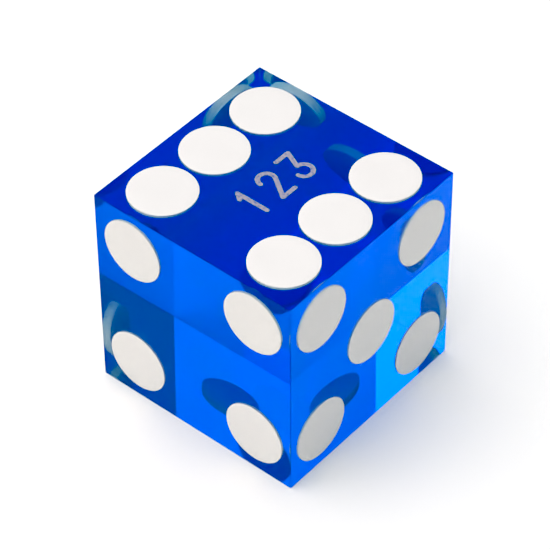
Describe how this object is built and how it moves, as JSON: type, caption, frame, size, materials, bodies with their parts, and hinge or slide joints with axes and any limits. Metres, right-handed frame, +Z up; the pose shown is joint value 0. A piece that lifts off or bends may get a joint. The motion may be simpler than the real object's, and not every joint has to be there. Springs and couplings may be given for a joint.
{
  "type": "casino die",
  "caption": "Precision casino die: a transparent blue acetate cube with razor edges, white pips inlaid flush in every face and a foil number stamped beside the pips of the top face",
  "frame": {"origin": "centre of the bottom face, the one, which is the face the die rests on", "axes": "+Z up and out of the six, -Y out of the four, +X out of the five; the one, three and two are opposite them"},
  "size_m": [0.019, 0.019, 0.0191],
  "materials": {
    "blue_acetate": "transparent royal blue cellulose acetate, ground and polished to a clear gloss",
    "white_filler": "opaque warm white epoxy filler, set in the recesses and ground flush with the face",
    "silver_foil": "hot-stamped foil, dull pinkish silver, slightly rough"
  },
  "bodies": {
    "root": {"acetate_cube": "blue_acetate", "pip_1_1": "white_filler", "pip_2_1": "white_filler", "pip_2_2": "white_filler", "pip_3_1": "white_filler", "pip_3_2": "white_filler", "pip_3_3": "white_filler", "pip_4_1": "white_filler", "pip_4_2": "white_filler", "pip_4_3": "white_filler", "pip_4_4": "white_filler", "pip_5_1": "white_filler", "pip_5_2": "white_filler", "pip_5_3": "white_filler", "pip_5_4": "white_filler", "pip_5_5": "white_filler", "pip_6_1": "white_filler", "pip_6_2": "white_filler", "pip_6_3": "white_filler", "pip_6_4": "white_filler", "pip_6_5": "white_filler", "pip_6_6": "white_filler", "foil_digit_1": "silver_foil", "foil_digit_2": "silver_foil", "foil_digit_3": "silver_foil"}
  },
  "joints": []
}
